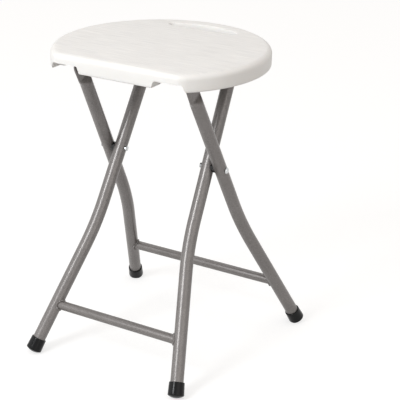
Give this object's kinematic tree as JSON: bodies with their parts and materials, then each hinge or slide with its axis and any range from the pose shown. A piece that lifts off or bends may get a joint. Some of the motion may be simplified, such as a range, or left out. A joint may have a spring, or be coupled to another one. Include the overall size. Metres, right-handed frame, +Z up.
{
  "type": "folding stool",
  "caption": "Folding stool with a round white plastic seat, a flat front edge, a handle slot and crossed grey tube legs on black feet.",
  "frame": {"origin": "on the floor, midway between the feet, straight under the crossing pivots", "axes": "+Z up, X along the folding axis, -Y towards the flat edge of the seat, +Y towards its handle slot"},
  "size_m": [0.3264, 0.3387, 0.4601],
  "materials": {
    "seat_plastic": "off-white moulded polyethylene with a fine grain",
    "grey_paint": "metallic grey powder coat",
    "zinc": "bright zinc plate",
    "black_rubber": "smooth black rubber",
    "black_plastic": "glossy black plastic"
  },
  "bodies": {
    "seat": {"seat": "seat_plastic", "bracket_left": "grey_paint", "bracket_right": "grey_paint", "bracket_screws_left": "zinc", "bracket_screws_right": "zinc", "link_rivet_left": "zinc", "link_rivet_right": "zinc", "rivet_sleeve_left": "zinc", "rivet_sleeve_right": "zinc", "front_bolt_left": "zinc", "front_bolt_right": "zinc", "front_nut_left": "zinc", "front_nut_right": "zinc", "front_washer_left": "zinc", "front_washer_right": "zinc"},
    "outer_frame": {"outer_leg_left": "grey_paint", "outer_leg_right": "grey_paint", "outer_rung": "grey_paint", "crossing_bolt_left": "zinc", "crossing_bolt_right": "zinc", "crossing_nut_left": "zinc", "crossing_nut_right": "zinc", "outer_washer_left": "black_plastic", "outer_washer_right": "black_plastic", "outer_foot_left": "black_rubber", "outer_foot_right": "black_rubber"},
    "inner_frame": {"inner_leg_left": "grey_paint", "inner_leg_right": "grey_paint", "inner_rung": "grey_paint", "inner_washer_left": "black_plastic", "inner_washer_right": "black_plastic", "rear_bolt_left": "zinc", "rear_bolt_right": "zinc", "inner_foot_left": "black_rubber", "inner_foot_right": "black_rubber"},
    "link": {"link_left": "grey_paint", "link_right": "grey_paint", "link_plug_left": "zinc", "link_plug_right": "zinc"}
  },
  "joints": [
    {"name": "fold", "type": "hinge", "parent": "seat", "child": "outer_frame", "pos_m": [0, -0.07785, 0.43027], "axis": [-1, 0, 0], "range_deg": [0, 118.92]},
    {"name": "crossing", "type": "hinge", "parent": "outer_frame", "child": "inner_frame", "pos_m": [0, 0, 0.29049], "axis": [1, 0, 0], "range_deg": [0, 53.4]},
    {"name": "link_swing", "type": "hinge", "parent": "seat", "child": "link", "pos_m": [0, -0.00085, 0.43027], "axis": [-1, 0, 0], "range_deg": [0, 170.1]}
  ],
  "couplings": [
    {"joint": "crossing", "follows": "fold", "ratio": 0.44885},
    {"joint": "link_swing", "follows": "fold", "ratio": 1.4303}
  ]
}
